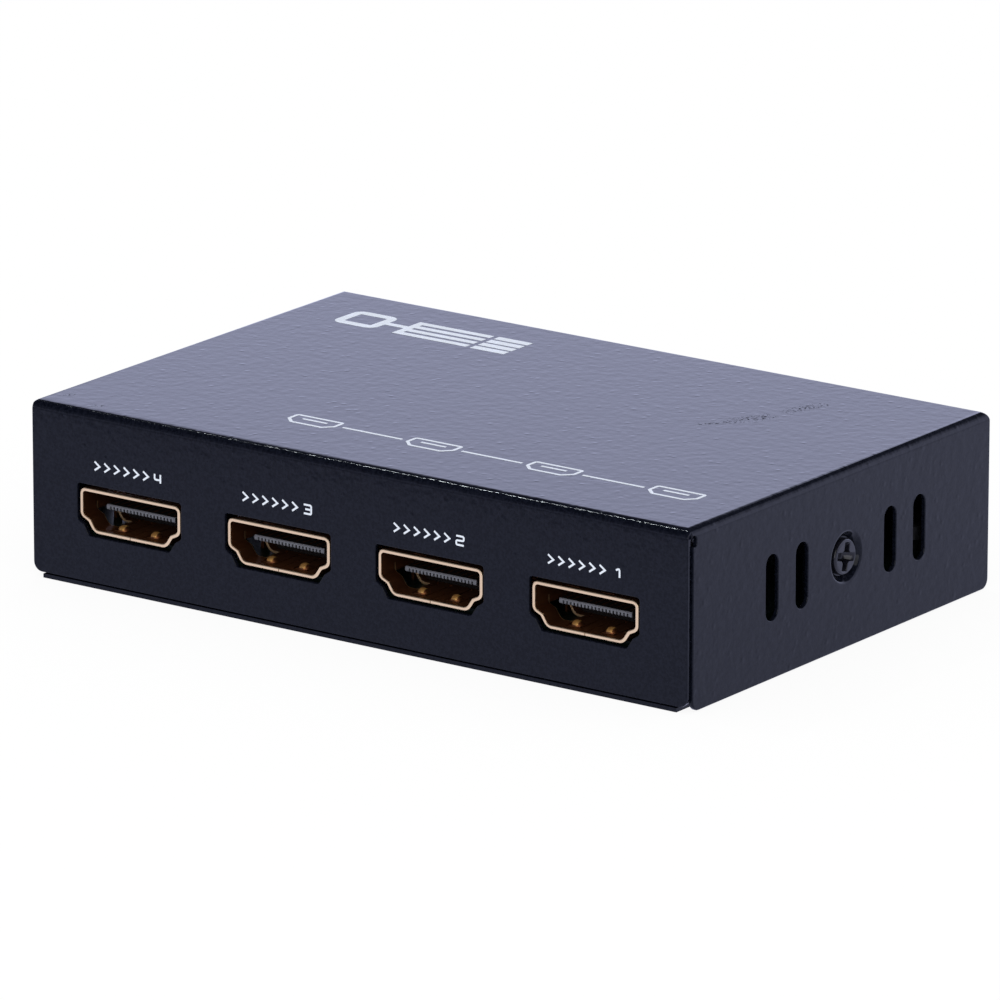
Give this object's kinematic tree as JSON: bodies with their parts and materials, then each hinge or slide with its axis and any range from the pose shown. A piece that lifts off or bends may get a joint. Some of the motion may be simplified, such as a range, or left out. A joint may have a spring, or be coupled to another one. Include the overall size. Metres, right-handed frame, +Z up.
{
  "type": "video splitter",
  "caption": "Low black steel box with a row of gold-lined video outputs on its front and an input and power inlet behind; copies one video signal to several displays.",
  "frame": {"origin": "middle of the underside of the tray", "axes": "+X along the row of outputs, to the right when they face the viewer; +Y from the output panel to the input panel; +Z up"},
  "size_m": [0.0954, 0.0624, 0.0219],
  "materials": {
    "case_paint": "black powder coat with a fine orange-peel texture",
    "screw_black": "black oxide",
    "socket_gold": "bright gold plating",
    "resin_black": "moulded, matt",
    "tongue_grey": "moulded, matt",
    "board_green": "solder mask, satin",
    "brass_plain": "turned",
    "steel_bright": "tinned or plated",
    "lamp_clear": "clear moulded",
    "can_aluminium": "satin",
    "ferrite": "pressed ferrite",
    "ceramic_tan": "fired ceramic"
  },
  "bodies": {
    "root": {"top_cover": "case_paint", "base_tray": "case_paint", "side_screws": "screw_black", "circuit_board": "board_green", "board_standoffs": "brass_plain", "board_screws": "steel_bright", "output_socket_shell_1": "socket_gold", "output_socket_shell_2": "socket_gold", "output_socket_shell_3": "socket_gold", "output_socket_shell_4": "socket_gold", "output_socket_insulator_1": "tongue_grey", "output_socket_insulator_2": "tongue_grey", "output_socket_insulator_3": "tongue_grey", "output_socket_insulator_4": "tongue_grey", "output_socket_contacts_1": "socket_gold", "output_socket_contacts_2": "socket_gold", "output_socket_contacts_3": "socket_gold", "output_socket_contacts_4": "socket_gold", "input_socket_shell": "socket_gold", "input_socket_insulator": "tongue_grey", "input_socket_contacts": "socket_gold", "power_jack_housing": "resin_black", "power_jack_pin": "steel_bright", "power_jack_spring": "steel_bright", "power_led": "lamp_clear", "power_led_leads": "steel_bright", "splitter_chip": "resin_black", "splitter_chip_leads": "steel_bright", "memory_chip": "resin_black", "memory_chip_leads": "steel_bright", "crystal_can": "steel_bright", "voltage_regulators": "resin_black", "regulator_leads": "steel_bright", "filter_capacitors": "can_aluminium", "power_inductor": "ferrite", "surge_arrays": "resin_black", "chip_capacitors": "ceramic_tan"}
  },
  "joints": []
}
